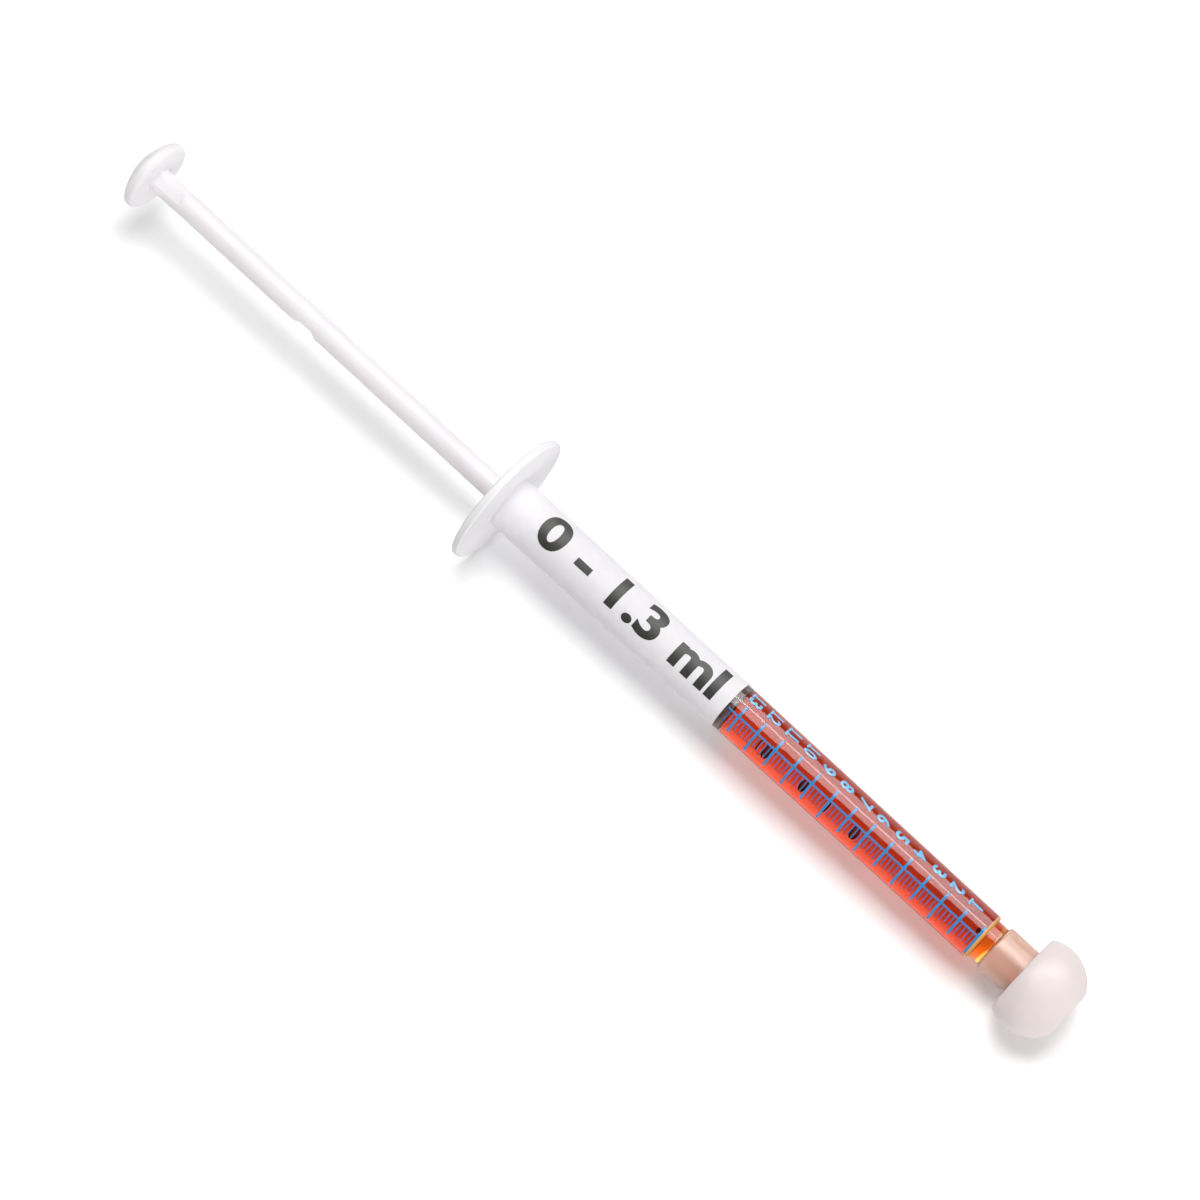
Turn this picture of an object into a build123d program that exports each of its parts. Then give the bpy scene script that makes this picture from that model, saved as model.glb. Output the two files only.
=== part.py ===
"""Oral syringe of 1.3 ml, filled with a red oil, labelled and capped. Millimetres.

X runs along the barrel towards the nozzle and +Z is up. The origin is on the barrel's
axis, in the front face of the finger flange, where fingers or a holder's slot bear.
All but the label's lap and the rod's flats and grooves is turned about the X axis.
"""
import os
from math import asin, cos, pi, sin, sqrt

from build123d import *

os.makedirs("parts", exist_ok=True)

# Barrel: a clear moulded tube with its flange, neck and nozzle in one piece
BORE_D = 6.0
BARREL_LENGTH = 92.3  # flange face to the front shoulder
BARREL_REAR_D = 8.07  # the outside is drafted, so it narrows towards the nozzle
BARREL_FRONT_D = 7.6
FLANGE_D = 21.9
FLANGE_T = 1.25
FLANGE_EDGE = 0.25  # chamfers round the flange's rim
BARREL_ROUND = 0.35  # shoulder and flange root
MOUTH_LEAD = 0.4  # chamfer that lets the seal in at the open end
BEAD_AT = 1.2  # start of the ring that keeps the plunger from being pulled out
BEAD_TOP = 0.6
BEAD_HEIGHT = 0.18
END_STEP = 0.4  # the bore ends this far behind the shoulder
SHOULDER = 0.55  # step from the barrel's front down to the neck, all round
NECK_LENGTH = 1.9
NECK_WALL = 0.75
END_WALL = 0.45  # between the neck's cavity and the nozzle's root
NECK_ROUND = 0.15

# Nozzle: a plain tapered oral tip with a fine channel
NOZZLE_LENGTH = 9.3  # neck face to the tip
NOZZLE_ROOT_D = 4.4
NOZZLE_TIP_D = 4.0
NOZZLE_ROUND = 0.2
CHANNEL_D = 1.3
LAND_D = 5.1  # cylinder that carries the collar
SNAP_HEIGHT = 0.16  # ring that keeps the collar on its land
SNAP_TOP = 0.25

# Dose scale that places the plunger
ML_PER_MARK = 0.1
FILL_MARKS = 13.17  # marks between the zero mark and the seal's front
ZERO_BEHIND_END = 0.4  # the zero mark stands this far behind the bore's end

# Tip collar: a clear sleeve snapped over the nozzle's root
COLLAR_D = 7.5
COLLAR_BORE_D = 6.1
COLLAR_LENGTH = 7.3
COLLAR_HUB_T = 1.25
COLLAR_ROUND = 0.45
COLLAR_LIP_ROUND = 0.25
COLLAR_CLEARANCE = 0.01  # round the nozzle's land

# Tip cap: a cored mushroom knob with a plug that enters the collar
CAP_D = 14.5
CAP_MOUTH_D = 12.7
CAP_LENGTH = 8.7
CAP_FACE_D = 7.2
CAP_WIDEST_AT = 3.1  # from the mouth
CAP_WALL = 1.2
CAP_AT = 5.3  # the mouth's place, from the neck face
CAP_EDGE_ROUND = 0.5
PLUG_SETBACK = 0.15  # the plug's end stands this far inside the mouth
PLUG_LEAD = 0.25  # chamfer that finds the collar's bore
SOCKET_SPARE = 0.3  # room past the nozzle's tip in the plug's socket

# Plunger rod: a round bar, thumb rest, guide disc and snap head in one moulding
ROD_D = 3.8
ROD_BACK = 71.35  # thumb rest's front face, behind the flange face
THUMB_D = 11.7
THUMB_RIM_T = 1.4
THUMB_CROWN = 2.05
THUMB_ROUND = 0.6
ROOT_ROUND = 0.25
GUIDE_CLEARANCE = 0.09
GUIDE_T = 0.8
HEAD_NECK_D = 2.2
HEAD_D = 3.4
HEAD_NECK_LENGTH = 1.2
HEAD_LENGTH = 1.6
HEAD_CONE = 0.9
ROD_TURN = 12  # degrees about X that the rod stands turned in the barrel
FLAT_LENGTH = 5.4  # flats on the bar's top and bottom, next to the thumb rest
FLAT_DEPTH = 0.24
PANEL_LENGTH = 4.6  # panel outlined by a groove on the upper flat
PANEL_WIDTH = 1.2
PANEL_GROOVE = 0.22
PANEL_DEPTH = 0.12
PANEL_OFFSET = 0.55  # from the bar's middle
NOTCH_FROM_THUMB = 29.25  # the side notch halfway along the rod
NOTCH_LENGTH = 4.6
NOTCH_DEPTH = 0.45
NOTCH_RAMP = 0.9
GROOVE_LENGTH = 5.3  # shallow round-ended recess on top, beside the notch
GROOVE_WIDTH = 1.1
GROOVE_DEPTH = 0.16
GROOVE_TURN = 24  # degrees about X, away from the notch

# Plunger seal: rubber, with two lips and a cavity that the rod's head snaps into
SEAL_LENGTH = 6.0
SEAL_CLEARANCE = 0.03
SEAL_WAIST = 0.28  # depth of the relief between the lips
LIP_LENGTH = 1.1
LIP_RAMP = 0.35
SEAL_NOSE = 0.35
SEAL_NOSE_D = 3.6
HEAD_CLEARANCE = 0.05

# Label and oil
LABEL_AT = 0.35
LABEL_SHORT = 1.22  # the label stops this far behind the seal's front
LABEL_T = 0.1
LABEL_GAP = 0.01  # adhesive
LAP_ARC = 24  # degrees over which the label's end laps over its start
LAP_TURN = 118  # degrees about X from +Z, towards +Y, to the lap
OIL_FILM = 0.02
OIL_GAP = 0.02
OIL_SHORT = 0.4  # the oil stops this far inside the nozzle's tip

# Places along X that several pieces share
bore_r = BORE_D / 2
bore_end = BARREL_LENGTH - END_STEP
neck_face = BARREL_LENGTH + NECK_LENGTH
neck_r = BARREL_FRONT_D / 2 - SHOULDER
neck_bore_r = neck_r - NECK_WALL
nozzle_tip = neck_face + NOZZLE_LENGTH
land_end = neck_face + COLLAR_HUB_T + HEAD_CLEARANCE
snap_r = LAND_D / 2 + SNAP_HEIGHT
cone_start = land_end + SNAP_HEIGHT + SNAP_TOP + snap_r - NOZZLE_ROOT_D / 2
bead_end = BEAD_AT + BEAD_TOP + 2 * BEAD_HEIGHT
zero_mark = bore_end - ZERO_BEHIND_END
mark_pitch = ML_PER_MARK * 1000 / (pi * bore_r**2)
seal_front = zero_mark - FILL_MARKS * mark_pitch
seal_back = seal_front - SEAL_LENGTH


def face(*points):
    """The flat face inside a closed outline of (x, radius) points."""
    return make_face(Polyline(*points, close=True))


def rounded(shape, size, *corners):
    """The face with the corners nearest to these (x, radius) points rounded."""
    for corner in corners:
        shape = fillet(shape.vertices().sort_by_distance(corner)[0], size)
    return shape


def turned(shape):
    """The solid that a face sweeps about the X axis."""
    return revolve(shape, axis=Axis.X)


def barrel_r(x):
    """Outside radius of the drafted barrel at x."""
    share = x / BARREL_LENGTH
    return (BARREL_REAR_D + (BARREL_FRONT_D - BARREL_REAR_D) * share) / 2


def nozzle_r(x):
    """Outside radius of the nozzle's cone at x."""
    share = (x - cone_start) / (nozzle_tip - cone_start)
    return (NOZZLE_ROOT_D + (NOZZLE_TIP_D - NOZZLE_ROOT_D) * share) / 2


def end_cavity(inset):
    """Outline of the bore's front end, neck and channel, shrunk by inset."""
    channel_r = CHANNEL_D / 2 - inset
    end_wall = neck_face - END_WALL
    cone = (neck_bore_r - CHANNEL_D / 2) / 5
    return [
        (bore_end - inset, bore_r - inset),
        (bore_end + END_STEP - inset, neck_bore_r - inset),
        (end_wall - cone - inset, neck_bore_r - inset),
        (end_wall - inset, channel_r),
    ]


def barrel():
    """Tube, finger flange, neck and nozzle, moulded as one clear piece."""
    bead_r = bore_r - BEAD_HEIGHT
    inside = [
        (-FLANGE_T, bore_r + MOUTH_LEAD),
        (MOUTH_LEAD - FLANGE_T, bore_r),
        (BEAD_AT, bore_r),
        (BEAD_AT + BEAD_HEIGHT, bead_r),
        (bead_end - BEAD_HEIGHT, bead_r),
        (bead_end, bore_r),
        *end_cavity(0),
        (nozzle_tip, CHANNEL_D / 2),
    ]
    outside = [
        (nozzle_tip, NOZZLE_TIP_D / 2),
        (cone_start, NOZZLE_ROOT_D / 2),
        (land_end + SNAP_HEIGHT + SNAP_TOP, snap_r),
        (land_end + SNAP_HEIGHT, snap_r),
        (land_end, LAND_D / 2),
        (neck_face, LAND_D / 2),
        (neck_face, neck_r),
        (BARREL_LENGTH, neck_r),
        (BARREL_LENGTH, BARREL_FRONT_D / 2),
        (0, BARREL_REAR_D / 2),
        (0, FLANGE_D / 2 - FLANGE_EDGE),
        (-FLANGE_EDGE, FLANGE_D / 2),
        (FLANGE_EDGE - FLANGE_T, FLANGE_D / 2),
        (-FLANGE_T, FLANGE_D / 2 - FLANGE_EDGE),
    ]
    section = face(*inside, *outside)
    corners = (0, BARREL_REAR_D / 2), (BARREL_LENGTH, BARREL_FRONT_D / 2)
    section = rounded(section, BARREL_ROUND, *corners)
    section = rounded(section, NOZZLE_ROUND, (nozzle_tip, NOZZLE_TIP_D / 2))
    return turned(rounded(section, NECK_ROUND, (neck_face, neck_r)))


def barrel_label():
    """Paper label wrapped once round the barrel, its end lapped over its start."""

    def layer(low, high):
        ends = LABEL_AT, seal_front - LABEL_SHORT
        inner = [(x, barrel_r(x) + LABEL_GAP + low) for x in ends]
        outer = [(x, barrel_r(x) + LABEL_GAP + high) for x in reversed(ends)]
        return face(*inner, *outer)

    wrap = turned(layer(0, LABEL_T))
    lap = revolve(layer(LABEL_T / 2, 2 * LABEL_T), Axis.X, LAP_ARC)
    return wrap + Rot(X=90 - LAP_TURN) * lap


def oil_charge():
    """The oil, from the seal's front to just inside the nozzle's tip."""
    back = seal_front + OIL_GAP
    tip = nozzle_tip - OIL_SHORT
    return turned(
        face(
            (back, 0),
            (back, bore_r - OIL_FILM),
            *end_cavity(OIL_FILM),
            (tip, CHANNEL_D / 2 - OIL_FILM),
            (tip, 0),
        )
    )


def tip_collar():
    """Clear sleeve round the nozzle, snapped on by its hub."""
    front = neck_face + COLLAR_LENGTH
    outer = COLLAR_D / 2
    hub_r = LAND_D / 2 + COLLAR_CLEARANCE
    inner = COLLAR_BORE_D / 2
    section = face(
        (neck_face, hub_r),
        (neck_face + COLLAR_HUB_T, hub_r),
        (neck_face + COLLAR_HUB_T, inner),
        (front, inner),
        (front, outer),
        (neck_face, outer),
    )
    section = rounded(section, COLLAR_ROUND, (neck_face, outer))
    return turned(rounded(section, COLLAR_LIP_ROUND, (front, outer), (front, inner)))


def knob(shrink):
    """Face inside the mushroom knob's outline, drawn shrink inside its surface."""
    mouth = neck_face + CAP_AT
    widest = mouth + CAP_WIDEST_AT
    crown = mouth + CAP_LENGTH

    def arc_to(x, r):
        """Radius of the arc that leaves the widest ring square and meets (x, r)."""
        drop = CAP_D / 2 - r
        return ((x - widest) ** 2 + drop**2) / (2 * drop)

    def on_arc(radius, x):
        """Point at x on that arc, moved in by shrink towards the arc's centre."""
        middle = CAP_D / 2 - radius
        return x, middle + sqrt((radius - shrink) ** 2 - (x - widest) ** 2)

    skirt = arc_to(mouth, CAP_MOUTH_D / 2)
    dome = arc_to(crown, CAP_FACE_D / 2)
    top = widest, CAP_D / 2 - shrink
    end = crown - shrink
    start_point, end_point = on_arc(skirt, mouth), on_arc(dome, end)
    return make_face(
        ThreePointArc(start_point, on_arc(skirt, (mouth + widest) / 2), top)
        + ThreePointArc(top, on_arc(dome, (widest + end) / 2), end_point)
        + Polyline(end_point, (end, 0), (mouth, 0), start_point)
    )


def tip_cap():
    """Push-on cap: a cored knob, and a plug whose socket closes on the nozzle."""
    mouth = neck_face + CAP_AT
    crown = mouth + CAP_LENGTH
    outside = rounded(knob(0), CAP_EDGE_ROUND, (mouth, CAP_MOUTH_D / 2))
    plug_r = COLLAR_BORE_D / 2 - GUIDE_CLEARANCE
    plug_end = mouth + PLUG_SETBACK
    socket_end = nozzle_tip + SOCKET_SPARE
    plug = face(
        (plug_end, nozzle_r(plug_end) + HEAD_CLEARANCE),
        (plug_end, plug_r - PLUG_LEAD),
        (plug_end + PLUG_LEAD, plug_r),
        (crown - CAP_WALL / 2, plug_r),
        (crown - CAP_WALL / 2, 0),
        (socket_end, 0),
        (socket_end, nozzle_r(nozzle_tip) + HEAD_CLEARANCE),
    )
    return turned(outside) - turned(knob(CAP_WALL)) + turned(plug)


def sunk_slot(start, length, width, depth, offset=0):
    """Round-ended cutter that sinks a slot of this depth into the rod's top."""
    floor = Pos(start + length / 2, offset, ROD_D / 2 - depth)
    return floor * extrude(SlotOverall(length, width), amount=ROD_D)


def flat(start, length, depth, ramp):
    """Cutter that takes a flat of this depth off the rod's -Y side, with ramps."""
    rod_r = ROD_D / 2
    end = start + length
    outline = face(
        (start, -ROD_D),
        (start, -rod_r),
        (start + ramp, depth - rod_r),
        (end - ramp, depth - rod_r),
        (end, -rod_r),
        (end, -ROD_D),
    )
    return extrude(outline, amount=rod_r, both=True)


def plunger_rod():
    """Round bar with its thumb rest, guide disc and the head that the seal snaps on."""
    rim = -ROD_BACK
    crown = rim - THUMB_RIM_T - THUMB_CROWN
    rod_r, thumb_r = ROD_D / 2, THUMB_D / 2
    dome_r = (thumb_r**2 + THUMB_CROWN**2) / (2 * THUMB_CROWN)
    half = asin(thumb_r / dome_r) / 2
    on_dome = crown + dome_r * (1 - cos(half)), dome_r * sin(half)
    guide_r = bore_r - GUIDE_CLEARANCE
    head = seal_back + HEAD_NECK_LENGTH
    head_end = head + HEAD_LENGTH
    section = make_face(
        ThreePointArc((crown, 0), on_dome, (rim - THUMB_RIM_T, thumb_r))
        + Polyline(
            (rim - THUMB_RIM_T, thumb_r),
            (rim, thumb_r),
            (rim, rod_r),
            (seal_back - GUIDE_T, rod_r),
            (seal_back - GUIDE_T, guide_r),
            (seal_back, guide_r),
            (seal_back, HEAD_NECK_D / 2),
            (head, HEAD_NECK_D / 2),
            (head, HEAD_D / 2),
            (head_end - HEAD_CONE, HEAD_D / 2),
            (head_end, HEAD_NECK_D / 2),
            (head_end, 0),
            (crown, 0),
        )
    )
    rims = (rim, thumb_r), (rim - THUMB_RIM_T, thumb_r)
    section = rounded(section, THUMB_ROUND, *rims)
    section = rounded(section, ROOT_ROUND, (rim, rod_r))

    root = flat(rim, FLAT_LENGTH, FLAT_DEPTH, FLAT_DEPTH)
    flats = [Rot(X=side) * root for side in (90, -90)]
    panel_at = rim + FLAT_DEPTH, PANEL_LENGTH
    panel_depth = FLAT_DEPTH + PANEL_DEPTH
    panel = sunk_slot(*panel_at, PANEL_WIDTH, panel_depth, PANEL_OFFSET)
    island = (
        panel_at[0] + PANEL_GROOVE,
        PANEL_LENGTH - 2 * PANEL_GROOVE,
        PANEL_WIDTH - 2 * PANEL_GROOVE,
    )
    panel -= sunk_slot(*island, panel_depth, PANEL_OFFSET)
    notch_at = rim + NOTCH_FROM_THUMB
    notch = flat(notch_at, NOTCH_LENGTH, NOTCH_DEPTH, NOTCH_RAMP)
    groove_at = notch_at + NOTCH_LENGTH - GROOVE_LENGTH
    groove = sunk_slot(groove_at, GROOVE_LENGTH, GROOVE_WIDTH, GROOVE_DEPTH)
    groove = Rot(X=-GROOVE_TURN) * groove
    rod = turned(section)
    for cut in (*flats, panel, notch, groove):
        rod -= Rot(X=ROD_TURN) * cut
    return rod


def plunger_seal():
    """Rubber seal: two lips, a relief between them, a blunt nose and the cavity."""
    lip_r = bore_r - SEAL_CLEARANCE
    waist_r = lip_r - SEAL_WAIST
    rear_lip_end = seal_back + LIP_LENGTH
    front_lip = seal_front - SEAL_NOSE - LIP_LENGTH
    throat_r = HEAD_NECK_D / 2 + HEAD_CLEARANCE
    head_r = HEAD_D / 2 + HEAD_CLEARANCE
    head = seal_back + HEAD_NECK_LENGTH - HEAD_CLEARANCE
    head_end = seal_back + HEAD_NECK_LENGTH + HEAD_LENGTH + HEAD_CLEARANCE
    section = face(
        (seal_back, throat_r),
        (seal_back, lip_r),
        (rear_lip_end, lip_r),
        (rear_lip_end + LIP_RAMP, waist_r),
        (front_lip - LIP_RAMP, waist_r),
        (front_lip, lip_r),
        (front_lip + LIP_LENGTH, lip_r),
        (seal_front, SEAL_NOSE_D / 2),
        (seal_front, 0),
        (head_end, 0),
        (head_end, throat_r),
        (head_end - HEAD_CONE, head_r),
        (head, head_r),
        (head, throat_r),
    )
    return turned(section)


pieces = {
    "barrel": barrel,
    "barrel_label": barrel_label,
    "oil_charge": oil_charge,
    "tip_collar": tip_collar,
    "tip_cap": tip_cap,
    "plunger_rod": plunger_rod,
    "plunger_seal": plunger_seal,
}
for name, make in pieces.items():
    export_step(make(), f"parts/{name}.step")

travel_back = seal_back - GUIDE_T - bead_end
print(f"mark pitch {mark_pitch:.3f}, zero mark {zero_mark:.2f}, seal {seal_front:.2f}")
print(f"travel in {zero_mark - seal_front:.2f}, travel back {travel_back:.2f}")
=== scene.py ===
"""Oral syringe filled with a red oil: finishes, print, floor, light and camera. Metres.

The script follows the syringe as it is put together: the plunger, the barrel with its
printed scale, the oil, the label, the collar and the cap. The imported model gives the
places, and X runs along the barrel towards the nozzle.
"""
from math import asin, atan2, cos, degrees, pi, radians, sin

import bmesh
import bpy
from mathutils import Matrix, Vector


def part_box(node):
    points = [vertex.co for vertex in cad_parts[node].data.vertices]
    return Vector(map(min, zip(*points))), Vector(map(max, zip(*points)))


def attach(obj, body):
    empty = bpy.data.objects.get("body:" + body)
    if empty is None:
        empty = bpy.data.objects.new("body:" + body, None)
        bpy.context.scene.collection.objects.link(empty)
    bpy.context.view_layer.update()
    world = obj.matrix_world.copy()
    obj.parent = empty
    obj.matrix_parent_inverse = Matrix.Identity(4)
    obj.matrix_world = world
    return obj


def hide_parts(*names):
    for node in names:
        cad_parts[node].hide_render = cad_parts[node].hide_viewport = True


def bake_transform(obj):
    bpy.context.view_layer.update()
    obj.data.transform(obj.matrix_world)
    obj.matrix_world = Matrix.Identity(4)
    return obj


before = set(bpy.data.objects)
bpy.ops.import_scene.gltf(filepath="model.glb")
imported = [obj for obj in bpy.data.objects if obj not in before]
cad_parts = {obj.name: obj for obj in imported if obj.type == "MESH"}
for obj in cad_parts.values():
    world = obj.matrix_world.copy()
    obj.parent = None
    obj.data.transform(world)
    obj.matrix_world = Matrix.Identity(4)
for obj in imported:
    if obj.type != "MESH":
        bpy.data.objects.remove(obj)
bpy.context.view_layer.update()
MM = 0.001
scene = bpy.context.scene
scene.view_settings.view_transform = "Standard"


# ---- Camera -------------------------------------------------------------------------
# Nearly overhead. The syringe lies from upper left to lower right, its tip end comes a
# little towards the lens, and the camera leans to the side of the scale's ticks.
ACROSS = radians(42.64)
TOWARDS = radians(9.0)
ROLLED = radians(11.8)
DISTANCE = 574.4 * MM
AIM = Vector((19.48, 0, 0)) * MM
AIM_RIGHT, AIM_UP = 1.091 * MM, 1.158 * MM  # the aim lies this far off the centre
VIEW_ANGLE = radians(17.06)

towards_lens = Vector((sin(TOWARDS), -cos(TOWARDS) * sin(ROLLED), cos(TOWARDS) * cos(ROLLED)))
along = Vector((cos(TOWARDS), sin(TOWARDS) * sin(ROLLED), -sin(TOWARDS) * cos(ROLLED)))
beside = Vector((0, cos(ROLLED), sin(ROLLED)))
right = cos(ACROSS) * along + sin(ACROSS) * beside
up = -sin(ACROSS) * along + cos(ACROSS) * beside

camera = bpy.data.objects.new("camera", bpy.data.cameras.new("camera"))
scene.collection.objects.link(camera)
camera.data.angle = VIEW_ANGLE
camera.data.clip_start = 0.01
camera.data.clip_end = 20
turn = Matrix((right, up, towards_lens)).transposed().to_4x4()
place = AIM - AIM_RIGHT * right - AIM_UP * up + DISTANCE * towards_lens
camera.matrix_world = Matrix.Translation(place) @ turn
scene.camera = camera


# ---- Floor --------------------------------------------------------------------------
# A white table that the flange's rim and the cap rest on, so it slopes a little against
# the barrel. It takes the shadows and stays plain white round them.
def linear(code):
    """An sRGB hex colour as linear red, green, blue and alpha."""
    parts = [int(code[i : i + 2], 16) / 255 for i in (1, 3, 5)]
    return (*[p / 12.92 if p <= 0.04045 else ((p + 0.055) / 1.055) ** 2.4 for p in parts], 1.0)


def node(material, kind, settings=(), **links):
    """Adds a node with its settings, and sets or links its inputs by name."""
    new = material.node_tree.nodes.new(kind)
    for name, value in dict(settings).items():
        setattr(new, name, value)
    for name, value in links.items():
        wanted = name.replace("_", " ")
        found = [s for s in new.inputs if s.name == wanted or s.identifier == wanted]
        if name[0] == "i" and name[1:].isdigit():
            found = [new.inputs[int(name[1:])]]
        if isinstance(value, bpy.types.NodeSocket):
            material.node_tree.links.new(value, found[0])
        else:
            found[0].default_value = value
    return new


def finish(name, code, **sockets):
    """A new material with one Principled shader of this base colour."""
    material = bpy.data.materials.new(name)
    material.use_nodes = True
    shader = material.node_tree.nodes["Principled BSDF"]
    shader.inputs["Base Color"].default_value = linear(code)
    for socket, value in sockets.items():
        shader.inputs[socket.replace("_", " ")].default_value = value
    return material, shader


def surface(material, mixed):
    """Makes this shader the surface of the material."""
    output = material.node_tree.nodes["Material Output"]
    material.node_tree.links.new(mixed.outputs[0], output.inputs["Surface"])


def deselect():
    for chosen in bpy.context.selected_objects:
        chosen.select_set(False)


FLOOR_SIZE = 6
FLOOR_GAP = 0.02 * MM
RIM_AT = -0.4 * MM  # the flange's rim touches the table here
KNOB_AT = 102.8 * MM  # and the cap here
rim_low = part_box("barrel")[0].z
knob_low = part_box("tip_cap")[0].z
slope = atan2(knob_low - rim_low, KNOB_AT - RIM_AT)
deselect()
bpy.ops.mesh.primitive_plane_add(size=FLOOR_SIZE)
floor = bpy.context.object
floor.name = "floor"
floor.data.transform(Matrix.Rotation(-slope, 4, "Y"))
floor.data.transform(Matrix.Translation((RIM_AT, 0, rim_low - FLOOR_GAP)))

FLOOR_WHITE = "#F4F3F5"
FLOOR_SEEN = 1.25  # the table is this much whiter to the lens, so that it stays plain white
table, shader = finish("white_table", FLOOR_WHITE, Roughness=0.6, Specular_IOR_Level=0.2)
ray = node(table, "ShaderNodeLightPath")
seen = node(table, "ShaderNodeMath", {"operation": "MAXIMUM"},
            i0=ray.outputs["Is Camera Ray"], i1=ray.outputs["Is Transmission Ray"])
whiter = node(table, "ShaderNodeBsdfDiffuse", Color=(FLOOR_SEEN, FLOOR_SEEN, FLOOR_SEEN, 1))
both = node(table, "ShaderNodeMixShader",
            i0=seen.outputs[0], i1=shader.outputs[0], i2=whiter.outputs[0])
surface(table, both)
floor.data.materials.append(table)


# ---- Room and lamps -----------------------------------------------------------------
# A dim white room. A wide soft box with a strip light in front of it hangs over the far
# side of the barrel, and white cards light the shaded faces.
ROOM_LIGHT = 0.12
room = bpy.data.worlds.new("room")
scene.world = room
room.use_nodes = True
room.node_tree.nodes["Background"].inputs["Color"].default_value = (1, 1, 1, 1)
ray = node(room, "ShaderNodeLightPath")
level = node(room, "ShaderNodeMapRange",
             Value=ray.outputs["Is Camera Ray"], To_Min=ROOM_LIGHT, To_Max=1.0)
room.node_tree.links.new(level.outputs[0], room.node_tree.nodes["Background"].inputs["Strength"])

LAMPS_AIM = Vector((60, 0, 0)) * MM


def soft_box(name, round_angle, tip_angle, twist, distance, width, length, radiance):
    """A rectangular lamp: so far round the barrel from the lens towards the far side, so far
    from where the barrel mirrors it to the lens, towards the tip, and turned in its plane."""
    mirrored = Vector((-towards_lens.x, towards_lens.y, towards_lens.z))
    ahead = (Vector((1, 0, 0)) - mirrored.x * mirrored).normalized()
    side = mirrored.cross(ahead)
    direction = cos(round_angle) * mirrored + sin(round_angle) * side
    across = -sin(round_angle) * mirrored + cos(round_angle) * side
    direction, ahead = (cos(tip_angle) * direction + sin(tip_angle) * ahead,
                        cos(tip_angle) * ahead - sin(tip_angle) * direction)
    ahead, across = (cos(twist) * ahead + sin(twist) * across,
                     cos(twist) * across - sin(twist) * ahead)
    lamp = bpy.data.lights.new(name, "AREA")
    lamp.shape = "RECTANGLE"
    lamp.size, lamp.size_y = length, width
    lamp.energy = radiance * pi * width * length
    holder = bpy.data.objects.new(name, lamp)
    scene.collection.objects.link(holder)
    turn = Matrix((ahead, across, direction)).transposed().to_4x4()
    holder.matrix_world = Matrix.Translation(LAMPS_AIM + distance * direction) @ turn
    return holder


BOX_PLACE = radians(43.6), radians(-2), radians(58)
soft_box("soft_box", *BOX_PLACE, 0.55, 0.445, 1.0, 0.95)
sheen = soft_box("soft_box_sheen", *BOX_PLACE, 0.56, 0.453, 1.018, 4.7)
sheen.visible_diffuse = sheen.visible_transmission = False  # it only strengthens the gloss
strip = soft_box("strip_light", radians(43.5), radians(6), 0, 0.50, 0.06, 0.34, 7.5)
strip.visible_diffuse = False  # it draws the thin bright line along the barrel
core = soft_box("soft_box_core", radians(25.5), radians(-1), 0, 0.54, 0.24, 0.24, 8.8)
core.visible_glossy = False  # the bulb in the soft box, which makes the shadows deep

CARD_AWAY = 0.60
CARDS = [  # angles round the barrel and towards the tip, width, length and radiance
    ("fill_card", radians(-66), radians(50), 0.35, 0.80, 2.2),
    ("side_card", radians(35), radians(72), 0.40, 0.40, 1.4),
    ("rear_card", radians(10), radians(-62), 0.40, 0.40, 0.7),
]
for name, round_angle, tip_angle, width, length, radiance in CARDS:
    card = soft_box(name, round_angle, tip_angle, 0, CARD_AWAY, width, length, radiance)
    card.visible_glossy = False  # a card leaves no reflection


# ---- Plunger rod --------------------------------------------------------------------
# A white bar of moulded polypropylene, with a thumb rest, two flats at its root, and a
# notch and a recess halfway. The moulding leaves a soft satin skin, faint flow streaks
# along it and light in its edges.
def own_place(material):
    """The place on the piece, in its own coordinates."""
    return node(material, "ShaderNodeTexCoord").outputs["Object"]


def mottle(material, shader, where, fineness, detail, dark, light):
    """Clouds the base colour between two tones, and returns the clouds."""
    clouds = node(material, "ShaderNodeTexNoise", Vector=where, Scale=fineness, Detail=detail)
    tone = node(material, "ShaderNodeValToRGB", Fac=clouds.outputs[0])
    tone.color_ramp.elements[0].color = linear(dark)
    tone.color_ramp.elements[1].color = linear(light)
    material.node_tree.links.new(tone.outputs[0], shader.inputs["Base Color"])
    return clouds.outputs[0]


def roughen(material, shader, height, strength, depth):
    """Gives the surface a fine relief."""
    relief = node(material, "ShaderNodeBump", Height=height, Strength=strength, Distance=depth)
    material.node_tree.links.new(relief.outputs[0], shader.inputs["Normal"])


def dress(piece, material):
    """Gives the piece this material and no other."""
    piece.data.materials.clear()
    piece.data.materials.append(material)


polypropylene, shader = finish("white_polypropylene", "#F3F1F3", Roughness=0.42, IOR=1.49,
                               Subsurface_Weight=0.9, Subsurface_Scale=0.004,
                               Subsurface_Radius=(1.0, 0.85, 0.8), Specular_IOR_Level=0.35)
spot = own_place(polypropylene)
stretch = node(polypropylene, "ShaderNodeMapping", Vector=spot)
stretch.inputs["Scale"].default_value = (60, 600, 600)  # streaks 16 mm long, 1.6 mm wide
mottle(polypropylene, shader, stretch.outputs[0], 1.0, 3.0, "#E8E4E7", "#F4F0F2")
skin = node(polypropylene, "ShaderNodeTexNoise", Vector=spot, Scale=1800.0, Detail=2.0)
roughen(polypropylene, shader, skin.outputs[0], 0.12, 0.05 * MM)
dress(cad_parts["plunger_rod"], polypropylene)


# ---- Plunger seal -------------------------------------------------------------------
# A black-brown butyl rubber stopper. Only its front lip shows, as a dark band between
# the label and the oil; the silicone oil on it gives it a dull shine.
rubber, shader = finish("butyl_rubber", "#4A413E", Roughness=0.4, IOR=1.52)
mottle(rubber, shader, own_place(rubber), 900.0, 3.0, "#6A4E48", "#86665E")
dress(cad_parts["plunger_seal"], rubber)


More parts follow.
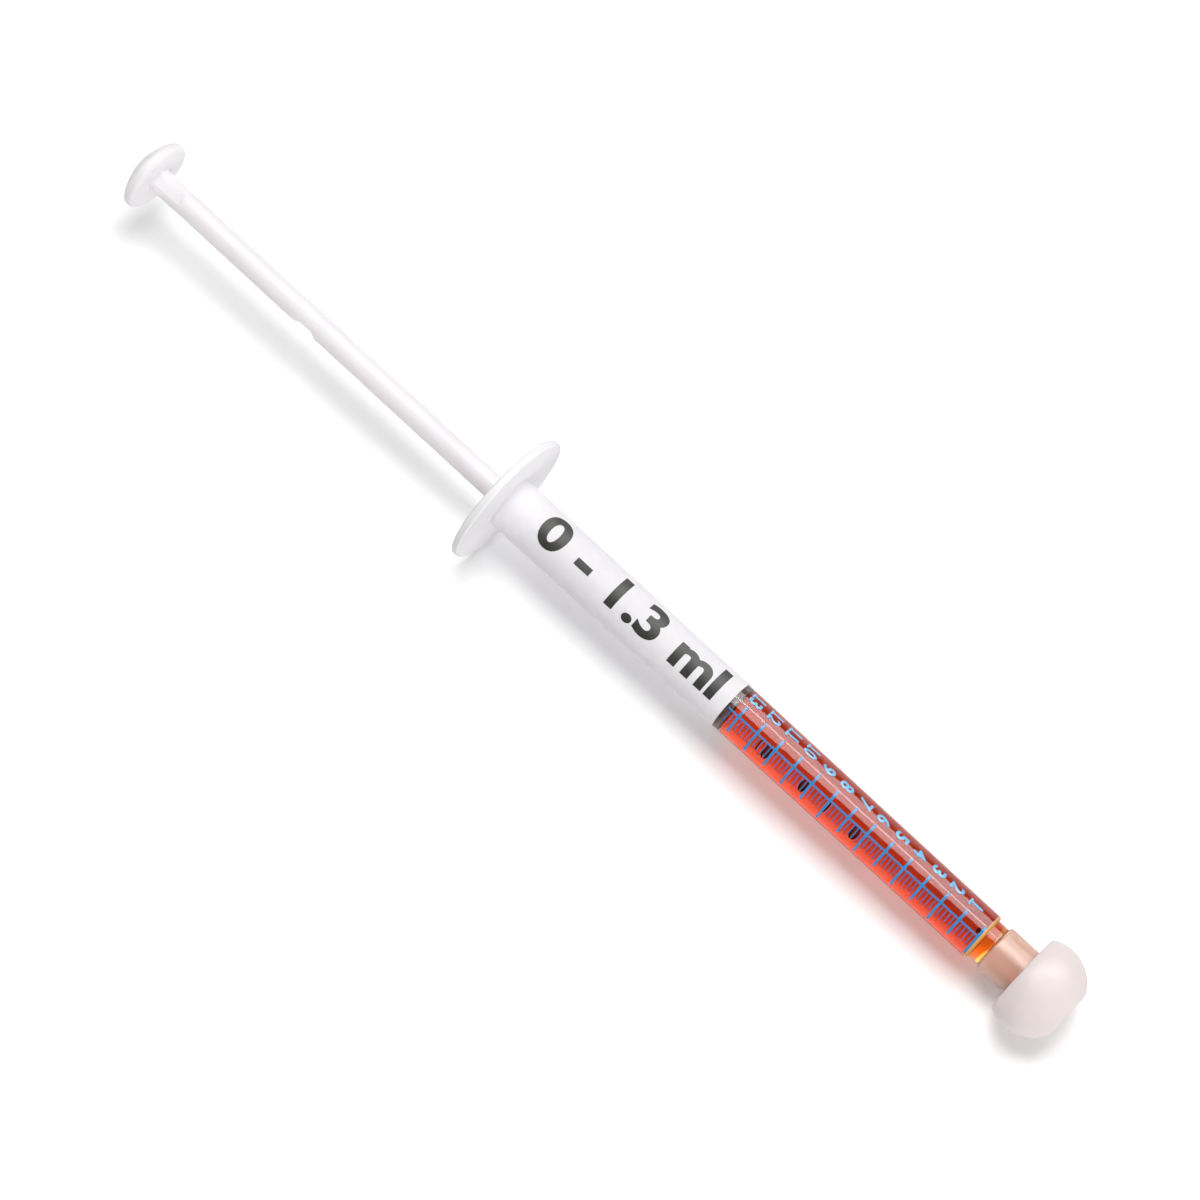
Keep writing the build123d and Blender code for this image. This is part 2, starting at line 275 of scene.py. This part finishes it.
# ---- Barrel -------------------------------------------------------------------------
# One moulding of clear polypropylene, with a frosted finger flange. Where the oil wets
# the bore, the wall and the oil bend light alike, so the inside of the wall isn't seen.
CLEAR_TINT, NECK_GLOW_TINT = "#FDFCFD", "#F8B24E"
CLEAR_ROUGH, FROST_ROUGH = 0.03, 0.55
FROST_CLEAR = 0.15  # the share of the light that still goes through where it is frosted
FROST_FROM, FROST_TO = 0.2 * MM, 0.8 * MM  # the flange's frosting fades out between these
SHOULDER_AT, SHOULDER_REACH = 92.15 * MM, 0.25 * MM  # the shoulder's ring is cloudy too
# Past these the clear neck is tinted amber: painted glow that stands in for the oil's colour and
# its amber highlight seen through the neck.
NECK_GLOW_FROM, NECK_GLOW_TO = 91.8 * MM, 92.0 * MM  # past these the neck pipes the oil's colour
WETTED_R = 3.2 * MM  # inside this radius lies only the bore's wall
CHANNEL_R = 1.0 * MM  # and inside this one, past the neck, only the channel's
NECK_END = 93.8 * MM
MOUTH_END = 3 * MM  # the bore's mouth stays dry
TUBE_FROM, TUBE_TO = 1.6 * MM, 91.8 * MM  # between these the outside is a plain round tube

clear, shader = finish("clear_polypropylene", CLEAR_TINT, Roughness=CLEAR_ROUGH, IOR=1.49,
                       Transmission_Weight=1.0)
axes = node(clear, "ShaderNodeSeparateXYZ", Vector=own_place(clear))
frost = node(clear, "ShaderNodeMapRange", Value=axes.outputs[0],
             From_Min=FROST_TO, From_Max=FROST_FROM)
shoulder = node(clear, "ShaderNodeMath", {"operation": "COMPARE"},
                i0=axes.outputs[0], i1=SHOULDER_AT, i2=SHOULDER_REACH)
cloudy = node(clear, "ShaderNodeMath", {"operation": "MAXIMUM"},
              i0=frost.outputs[0], i1=shoulder.outputs[0])
rough = node(clear, "ShaderNodeMapRange", Value=cloudy.outputs[0],
             To_Min=CLEAR_ROUGH, To_Max=FROST_ROUGH)
clear.node_tree.links.new(rough.outputs[0], shader.inputs["Roughness"])
haze = node(clear, "ShaderNodeMapRange", Value=cloudy.outputs[0],
            To_Min=1.0, To_Max=FROST_CLEAR)
clear.node_tree.links.new(haze.outputs[0], shader.inputs["Transmission Weight"])
# The amber tint of the neck is painted glow, not a colour of the plastic.
neck_glow = node(clear, "ShaderNodeMapRange", Value=axes.outputs[0],
             From_Min=NECK_GLOW_FROM, From_Max=NECK_GLOW_TO)
tint = node(clear, "ShaderNodeValToRGB", Fac=neck_glow.outputs[0])
tint.color_ramp.elements[0].color = linear(CLEAR_TINT)
tint.color_ramp.elements[1].color = linear(NECK_GLOW_TINT)
clear.node_tree.links.new(tint.outputs[0], shader.inputs["Base Color"])

# The wetted inside of the bore and of the channel
flat = node(clear, "ShaderNodeCombineXYZ", X=0.0, Y=axes.outputs[1], Z=axes.outputs[2])
radius = node(clear, "ShaderNodeVectorMath", {"operation": "LENGTH"}, i0=flat.outputs[0])
wide = node(clear, "ShaderNodeMath", {"operation": "LESS_THAN"},
            i0=axes.outputs[0], i1=NECK_END)
limit = node(clear, "ShaderNodeMapRange", Value=wide.outputs[0],
             To_Min=CHANNEL_R, To_Max=WETTED_R)
inside = node(clear, "ShaderNodeMath", {"operation": "LESS_THAN"},
              i0=radius.outputs["Value"], i1=limit.outputs[0])
past_mouth = node(clear, "ShaderNodeMath", {"operation": "GREATER_THAN"},
                  i0=axes.outputs[0], i1=MOUTH_END)
wetted = node(clear, "ShaderNodeMath", {"operation": "MULTIPLY"},
              i0=inside.outputs[0], i1=past_mouth.outputs[0])

# The tube's outside is truly round: there its normal points straight out from the axis
outside = node(clear, "ShaderNodeMath", {"operation": "GREATER_THAN"},
               i0=radius.outputs["Value"], i1=WETTED_R)
along_tube = node(clear, "ShaderNodeMath", {"operation": "COMPARE"},
                  i0=axes.outputs[0], i1=(TUBE_FROM + TUBE_TO) / 2, i2=(TUBE_TO - TUBE_FROM) / 2)
round_part = node(clear, "ShaderNodeMath", {"operation": "MULTIPLY"},
                  i0=outside.outputs[0], i1=along_tube.outputs[0])
facing = node(clear, "ShaderNodeNewGeometry")
side = node(clear, "ShaderNodeMath", {"operation": "MULTIPLY_ADD"},
            i0=facing.outputs["Backfacing"], i1=-2.0, i2=1.0)
radial = node(clear, "ShaderNodeVectorMath", {"operation": "NORMALIZE"}, i0=flat.outputs[0])
turned = node(clear, "ShaderNodeVectorMath", {"operation": "MULTIPLY"},
              i0=radial.outputs[0], i1=side.outputs[0])
change = node(clear, "ShaderNodeVectorMath", {"operation": "SUBTRACT"},
              i0=turned.outputs[0], i1=facing.outputs["Normal"])
true_round = node(clear, "ShaderNodeVectorMath", {"operation": "MULTIPLY_ADD"},
                  i0=change.outputs[0], i1=round_part.outputs[0], i2=facing.outputs["Normal"])
clear.node_tree.links.new(true_round.outputs[0], shader.inputs["Normal"])

gone = node(clear, "ShaderNodeBsdfTransparent")
wall = node(clear, "ShaderNodeMixShader",
            i0=wetted.outputs[0], i1=shader.outputs[0], i2=gone.outputs[0])
surface(clear, wall)
dress(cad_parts["barrel"], clear)


# ---- Dose scale ---------------------------------------------------------------------
# Blue ink printed on the barrel: a line along it, a mark for each 0.1 ml with its number,
# and four short marks between two of them. The ink is a skin just proud of the plastic.
ZERO_MARK = 91.7 * MM
MARK_PITCH = 3.51 * MM
LAST_MARK = 13
DIVISIONS = 5  # between two numbered marks
PAST_LAST = 2  # short marks past the last number
LINE_TURN = radians(18)  # angles about X, from +Z towards -Y
MARK_TURNS = radians(-9.6), radians(74.5), radians(64.5)  # the start, and two ends in turn
SHORT_TURN = radians(50.5)
FACET = 5  # degrees of the barrel that one face of a mark spans
INK_PROUD = 0.03 * MM
MARK_WIDTH, SHORT_WIDTH, LINE_WIDTH = 0.42 * MM, 0.21 * MM, 0.26 * MM
NUMBER_HEIGHT, NUMBER_EDGE = 2.35 * MM, radians(-22)
FIGURE_WIDTH, PAIR_WIDTH, FIGURE_GAP = 1.27 * MM, 0.98 * MM, 0.14 * MM
FIGURE_BOLD = 0.028  # in figure heights, as the foot's sizes are
FOOT_WIDTH, FOOT_HEIGHT, FOOT_BACK = 0.46, 0.11, 0.06
NUMBER_SHIFT = 0.4 * MM  # the numbers stand this far past their marks

REAR_R, FRONT_R, BARREL_END = 4.035 * MM, 3.8 * MM, 92.3 * MM


def barrel_r(x):
    """Outside radius of the drafted barrel at x."""
    return REAR_R + (FRONT_R - REAR_R) * x / BARREL_END


def on_barrel(x, angle, proud):
    """The point at x on the barrel, this far round from +Z towards -Y."""
    r = barrel_r(x) + proud
    return Vector((x, -r * sin(angle), r * cos(angle)))


def wrapped(piece, spread, proud):
    """Bends a flat print round the barrel. Its X runs round it and its Y along it."""
    for corner in piece.data.vertices:
        x, angle = spread(corner.co)
        corner.co = on_barrel(x, angle, proud)
    piece.data.update()


def ink_bar(start, end, x, width):
    """A printed bar across the barrel, between two angles, as a curved strip."""
    deselect()
    facets = max(2, int(degrees(end - start) / FACET))
    bpy.ops.mesh.primitive_grid_add(x_subdivisions=facets, y_subdivisions=1, size=1)
    bar = bpy.context.object
    wrapped(bar, lambda c: (x + c.y * width, start + (c.x + 0.5) * (end - start)), INK_PROUD)
    return bar


def flat_print(text, bold, smooth):
    """Flat letters as a mesh, so much bolder and with such smooth curves."""
    deselect()
    bpy.ops.object.text_add()
    words = bpy.context.object
    words.data.body = text
    words.data.size = 1
    words.data.offset = bold
    words.data.resolution_u = smooth
    bpy.ops.object.convert(target="MESH")
    return bpy.context.object


def number_print(text, x):
    """The figures of a number, feet to the flange, the last one's side at the number edge."""
    width = FIGURE_WIDTH if len(text) == 1 else PAIR_WIDTH
    figures = []
    for place, figure in enumerate(reversed(text)):
        number = flat_print(figure, FIGURE_BOLD, 4)
        low = Vector([min(c.co[i] for c in number.data.vertices) for i in range(3)])
        high = Vector([max(c.co[i] for c in number.data.vertices) for i in range(3)])
        if figure == "1":  # this one stands on a foot, as typewriter figures do
            middle = high.x - FOOT_BACK
            bpy.ops.mesh.primitive_plane_add(size=1, location=(middle, low.y + FOOT_HEIGHT / 2, 0))
            foot = bpy.context.object
            foot.scale = (FOOT_WIDTH, FOOT_HEIGHT, 1)
            bpy.ops.object.transform_apply(location=True, rotation=True, scale=True)
            number.select_set(True)
            bpy.context.view_layer.objects.active = number
            bpy.ops.object.join()
            low.x, high.x = middle - FOOT_WIDTH / 2, middle + FOOT_WIDTH / 2
        back = place * (width + FIGURE_GAP)

        def spread(c):
            across = (c.x - high.x) / (high.x - low.x) * width - back
            tall = (c.y - low.y) / (high.y - low.y) - 0.5
            return x + NUMBER_SHIFT + tall * NUMBER_HEIGHT, NUMBER_EDGE + across / barrel_r(x)

        wrapped(number, spread, INK_PROUD)
        figures.append(number)
    return figures


def printed_skin(name, pieces):
    """The pieces of one print as one object whose faces all look outwards."""
    deselect()
    for printed in pieces:
        printed.select_set(True)
    bpy.context.view_layer.objects.active = pieces[0]
    bpy.ops.object.join()
    skin = bpy.context.object
    skin.name = name
    bpy.ops.object.mode_set(mode="EDIT")
    bpy.ops.mesh.select_all(action="SELECT")
    bpy.ops.mesh.remove_doubles(threshold=0.001 * MM)
    bpy.ops.object.mode_set(mode="OBJECT")
    outward = bmesh.new()
    outward.from_mesh(skin.data)
    for patch in outward.faces:
        middle = patch.calc_center_median()
        patch.normal_update()
        if patch.normal.dot(Vector((0, middle.y, middle.z))) < 0:
            patch.normal_flip()
    outward.to_mesh(skin.data)
    outward.free()
    return skin


numbers = []
prints = [ink_bar(MARK_TURNS[0], MARK_TURNS[1], ZERO_MARK, MARK_WIDTH)]
for mark in range(1, LAST_MARK + 1):
    x = ZERO_MARK - mark * MARK_PITCH
    prints.append(ink_bar(MARK_TURNS[0], MARK_TURNS[1 + mark % 2], x, MARK_WIDTH))
    numbers.extend(number_print(str(mark), x))
LINE_END = ZERO_MARK - (LAST_MARK + 0.5) * MARK_PITCH
half_line = LINE_WIDTH / 2 / barrel_r(ZERO_MARK)
prints.append(ink_bar(LINE_TURN - half_line, LINE_TURN + half_line, (ZERO_MARK + LINE_END) / 2,
                      ZERO_MARK - LINE_END + MARK_WIDTH))
scale = printed_skin("dose_scale", prints)
number_scale = printed_skin("dose_scale_numbers", numbers)
prints = []
for short in range(1, DIVISIONS * LAST_MARK + PAST_LAST + 1):
    if short % DIVISIONS:
        x = ZERO_MARK - short * MARK_PITCH / DIVISIONS
        prints.append(ink_bar(LINE_TURN + half_line, SHORT_TURN, x, SHORT_WIDTH))
fine_scale = printed_skin("dose_scale_fine", prints)

# The numbers lie on the lit upper side and take a paler copy of the blue ink. The fine marks lie
# on the shaded lower side and take a darker copy: painted light and painted shade.
INKS = [  # the fine marks are printed thinner, and the oil shows through them
    (scale, "blue_ink", "#3484C0", "#4494CE", 0.0),
    (number_scale, "blue_ink_painted_light", "#74C6F8", "#8AD2FF", 0.0),
    (fine_scale, "thin_blue_ink_painted_shade", "#366CA2", "#447CB2", 0.2),
]
for skin, name, dark, light, thinness in INKS:
    ink, shader = finish(name, light, Roughness=0.12, IOR=1.5)
    mottle(ink, shader, own_place(ink), 2500.0, 2.0, dark, light)
    bare = node(ink, "ShaderNodeBsdfTransparent")
    film = node(ink, "ShaderNodeMixShader", i0=thinness, i1=shader.outputs[0], i2=bare.outputs[0])
    surface(ink, film)
    dress(skin, ink)
    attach(skin, "barrel")


# ---- Oil ----------------------------------------------------------------------------
# Red cherry-coloured oil that fills the bore from the seal to the nozzle. It is clear, and
# deeper in colour the further light travels through it.
oil_low, oil_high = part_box("oil_charge")
BORE_END = 91.9 * MM
OIL_R = 2.98 * MM
NECK_OIL_R = 2.48 * MM
CHANNEL_OIL_R = 0.63 * MM
# Past here the oil is a paler amber copy: painted glow, added to the paler look of its thinner
# layers.
THIN_FROM = 91.8 * MM  # past here the oil lies in thin layers and looks amber
SHOULDER_LONG, NECK_LONG, FUNNEL_LONG = 0.4 * MM, 1.06 * MM, 0.37 * MM
CHANNEL_LONG = oil_high.x - BORE_END - (SHOULDER_LONG + NECK_LONG + FUNNEL_LONG)
deselect()
bpy.ops.mesh.primitive_cylinder_add(vertices=96, radius=OIL_R, depth=THIN_FROM - oil_low.x,
                                    location=((THIN_FROM + oil_low.x) / 2, 0, 0),
                                    rotation=(0, pi / 2, 0))
oil = bpy.context.object
oil.name = "oil"
bpy.ops.object.transform_apply(location=True, rotation=True, scale=True)
bpy.ops.object.mode_set(mode="EDIT")
bpy.ops.mesh.select_mode(type="FACE")
bpy.ops.mesh.select_all(action="DESELECT")
shape = bmesh.from_edit_mesh(oil.data)
for end in shape.faces:
    end.select_set(end.normal.x > 0.9)
bmesh.update_edit_mesh(oil.data)
steps = [  # how far the front end is drawn out, and how much narrower it gets
    (BORE_END - THIN_FROM, 1.0),
    (SHOULDER_LONG, NECK_OIL_R / OIL_R),
    (NECK_LONG, 1.0),
    (FUNNEL_LONG, CHANNEL_OIL_R / NECK_OIL_R),
    (CHANNEL_LONG, 1.0),
]
for step, narrower in steps:
    bpy.ops.mesh.extrude_region_move(TRANSFORM_OT_translate={"value": (step, 0, 0)})
    bpy.ops.transform.resize(value=(1, narrower, narrower))
bpy.ops.mesh.select_all(action="SELECT")
bpy.ops.mesh.normals_make_consistent(inside=False)
bpy.ops.object.mode_set(mode="OBJECT")
bpy.ops.object.shade_smooth_by_angle(angle=radians(30))

# The second oil is that paler copy, with a weaker depth colour: painted amber glow in the neck and
# channel.
OILS = [  # tint at the surface, tint in the depth and its strength per metre
    ("cherry_oil", "#E99C52", "#EE6226", 450),
    ("cherry_oil_thin_glow", "#FBB860", "#F79A3C", 160),
]
for name, surface_tint, depth_tint, strength in OILS:
    liquid, shader = finish(name, surface_tint, Roughness=0.0, IOR=1.01, Transmission_Weight=1.0)
    depth = node(liquid, "ShaderNodeVolumeAbsorption")
    depth.inputs["Color"].default_value = linear(depth_tint)
    depth.inputs["Density"].default_value = strength
    output = liquid.node_tree.nodes["Material Output"]
    liquid.node_tree.links.new(depth.outputs[0], output.inputs["Volume"])
    oil.data.materials.append(liquid)
for patch in oil.data.polygons:
    if patch.center.x > THIN_FROM:
        patch.material_index = 1
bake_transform(oil)
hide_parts("oil_charge")


# ---- Bubbles ------------------------------------------------------------------------
# A few flat air bubbles that cling to the bore's wall under the scale. They look dark,
# because light from inside the oil is thrown back at them. Their grey-violet tint, which air
# doesn't have, darkens them further as painted shade.
air, shader = finish("air_in_oil_painted_shade", "#7A6A80", Roughness=0.0, IOR=0.69, Transmission_Weight=1.0)
BUBBLES = [  # place along the barrel, length, and where round it they start and end
    (50.7 * MM, 0.35 * MM, radians(17), radians(62)),
    (52.2 * MM, 1.4 * MM, radians(16), radians(68)),
    (59.3 * MM, 1.2 * MM, radians(16), radians(66)),
    (63.8 * MM, 0.5 * MM, radians(17), radians(64)),
    (69.1 * MM, 1.4 * MM, radians(16), radians(68)),
    (91.15 * MM, 0.6 * MM, radians(-5), radians(16)),
]
BUBBLE_DEPTH, WALL_GAP = 0.9 * MM, 0.05 * MM
oil_length = BORE_END - oil_low.x
for place, (x, length, begins, ends) in enumerate(BUBBLES):
    deselect()
    bpy.ops.mesh.primitive_uv_sphere_add(segments=32, ring_count=16, radius=1)
    bubble = bpy.context.object
    bubble.name = f"bubble_{place + 1}"
    for corner in bubble.data.vertices:
        angle = (begins + ends + corner.co.y * (ends - begins)) / 2
        r = OIL_R - WALL_GAP - (1 - corner.co.z) / 2 * BUBBLE_DEPTH
        corner.co = Vector((x + corner.co.x * length / 2, -r * sin(angle), r * cos(angle)))
    bpy.ops.object.mode_set(mode="EDIT")
    bpy.ops.mesh.select_all(action="SELECT")
    bpy.ops.mesh.normals_make_consistent(inside=False)
    bpy.ops.object.mode_set(mode="OBJECT")
    bpy.ops.object.shade_smooth()
    bubble.data.materials.append(air)
    # The bubble's place along the oil, eased as a smooth step.
    held = 1 - (BORE_END - x) / oil_length  # 0 at the seal, 1 at the bore's end
    step = 0.5 - sin(asin(1 - 2 * held) / 3)
    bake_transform(bubble)


# ---- Label --------------------------------------------------------------------------
# White paper wrapped once round the barrel. Its faint fibres show at its surface, and the
# thermal print on it is a soft black that gives the range of the doses.
paper, shader = finish("label_paper", "#F3F2F4", Roughness=0.62, IOR=1.45,
                       Subsurface_Weight=0.1, Subsurface_Scale=0.0005,
                       Subsurface_Radius=(1.0, 1.0, 1.0), Specular_IOR_Level=0.3)
pulp = mottle(paper, shader, own_place(paper), 700.0, 5.0, "#E9E6EA", "#F3F0F4")
roughen(paper, shader, pulp, 0.15, 0.1 * MM)
dress(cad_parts["barrel_label"], paper)

DOSE_TEXT = "0 - 1.3 ml"
TEXT_BOLD = 0.034  # in letter heights
TEXT_SLICE, TEXT_SLICES = 0.08, 10  # the letters are cut across here, so that they bend
TEXT_FOOT, TEXT_TOP = radians(30.5), radians(-44)
TEXT_START, TEXT_END = 6.5 * MM, 41.4 * MM
PAPER_PROUD = 0.135 * MM
marking = flat_print(DOSE_TEXT, TEXT_BOLD, 6)
bpy.ops.object.mode_set(mode="EDIT")
for cut in range(1, TEXT_SLICES):
    bpy.ops.mesh.select_all(action="SELECT")
    bpy.ops.mesh.bisect(plane_co=(0, cut * TEXT_SLICE, 0), plane_no=(0, 1, 0))
bpy.ops.object.mode_set(mode="OBJECT")
text_left = min(c.co.x for c in marking.data.vertices)
text_right = max(c.co.x for c in marking.data.vertices)
text_tall = max(c.co.y for c in marking.data.vertices)


def on_label(c):
    """Where a point of the flat text comes along the barrel and round it."""
    along_text = (c.x - text_left) / (text_right - text_left)
    return (TEXT_START + along_text * (TEXT_END - TEXT_START),
            TEXT_FOOT + c.y / text_tall * (TEXT_TOP - TEXT_FOOT))


wrapped(marking, on_label, PAPER_PROUD)
marking = printed_skin("label_print", [marking])
black, shader = finish("thermal_print", "#2E2E2B", Roughness=0.5, IOR=1.45)
mottle(black, shader, own_place(black), 1500.0, 3.0, "#232320", "#3C3C38")
dress(marking, black)
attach(marking, "barrel")


# ---- Tip collar ---------------------------------------------------------------------
# A clear sleeve of polypropylene snapped over the nozzle's root. Its peach tint is painted
# glow: it stands in for the oil's colour seen through it from the channel behind.
sleeve, shader = finish("clear_sleeve_oil_glow", "#FFD8C4", Roughness=0.25, IOR=1.49,
                        Transmission_Weight=0.55)
dress(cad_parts["tip_collar"], sleeve)


# ---- Tip cap ------------------------------------------------------------------------
# A milky mushroom of soft polyethylene, smooth and slightly see-through.
milky, shader = finish("milky_polyethylene", "#FBF1EF", Roughness=0.42, IOR=1.51,
                       Subsurface_Weight=0.4, Subsurface_Scale=0.003,
                       Subsurface_Radius=(1.0, 0.9, 0.85), Specular_IOR_Level=0.35)
mottle(milky, shader, own_place(milky), 300.0, 2.0, "#EADBD9", "#F1E4E3")
dress(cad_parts["tip_cap"], milky)
